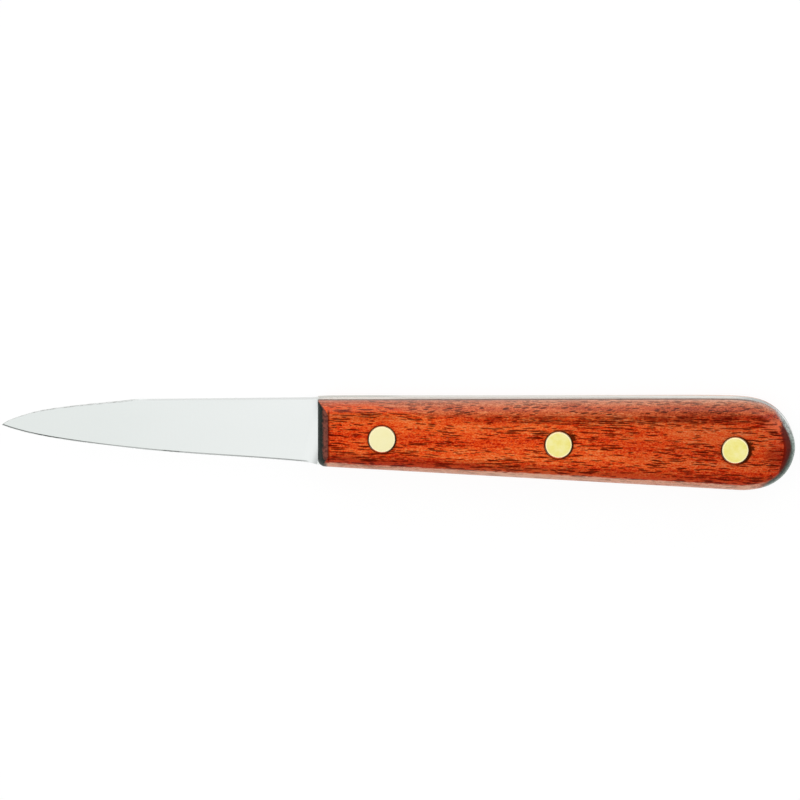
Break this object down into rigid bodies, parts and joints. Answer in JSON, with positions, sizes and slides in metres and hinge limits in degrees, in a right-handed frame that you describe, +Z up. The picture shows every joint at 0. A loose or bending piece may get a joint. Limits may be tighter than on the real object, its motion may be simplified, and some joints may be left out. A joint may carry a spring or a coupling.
{
  "type": "hoof knife",
  "caption": "Straight pointed full-tang hoof knife with a clipped back, a flat-ground blade and riveted wooden handle scales, lying on its side.",
  "frame": {"origin": "centre of the footprint, on the lower scale's flat face", "axes": "the knife lies on its side: +X from the tip to the butt, +Y from the cutting edge to the spine, +Z up through the handle's thickness"},
  "size_m": [0.2, 0.0235, 0.013],
  "materials": {
    "blade_steel": "fine satin grind",
    "wood": "oiled and polished reddish-orange hardwood",
    "rivet_brass": "polished flush"
  },
  "bodies": {
    "root": {"blade": "blade_steel", "upper_scale": "wood", "lower_scale": "wood", "front_rivet_tube": "rivet_brass", "front_rivet_stud": "rivet_brass", "middle_rivet_tube": "rivet_brass", "middle_rivet_stud": "rivet_brass", "rear_rivet_tube": "rivet_brass", "rear_rivet_stud": "rivet_brass"}
  },
  "joints": []
}
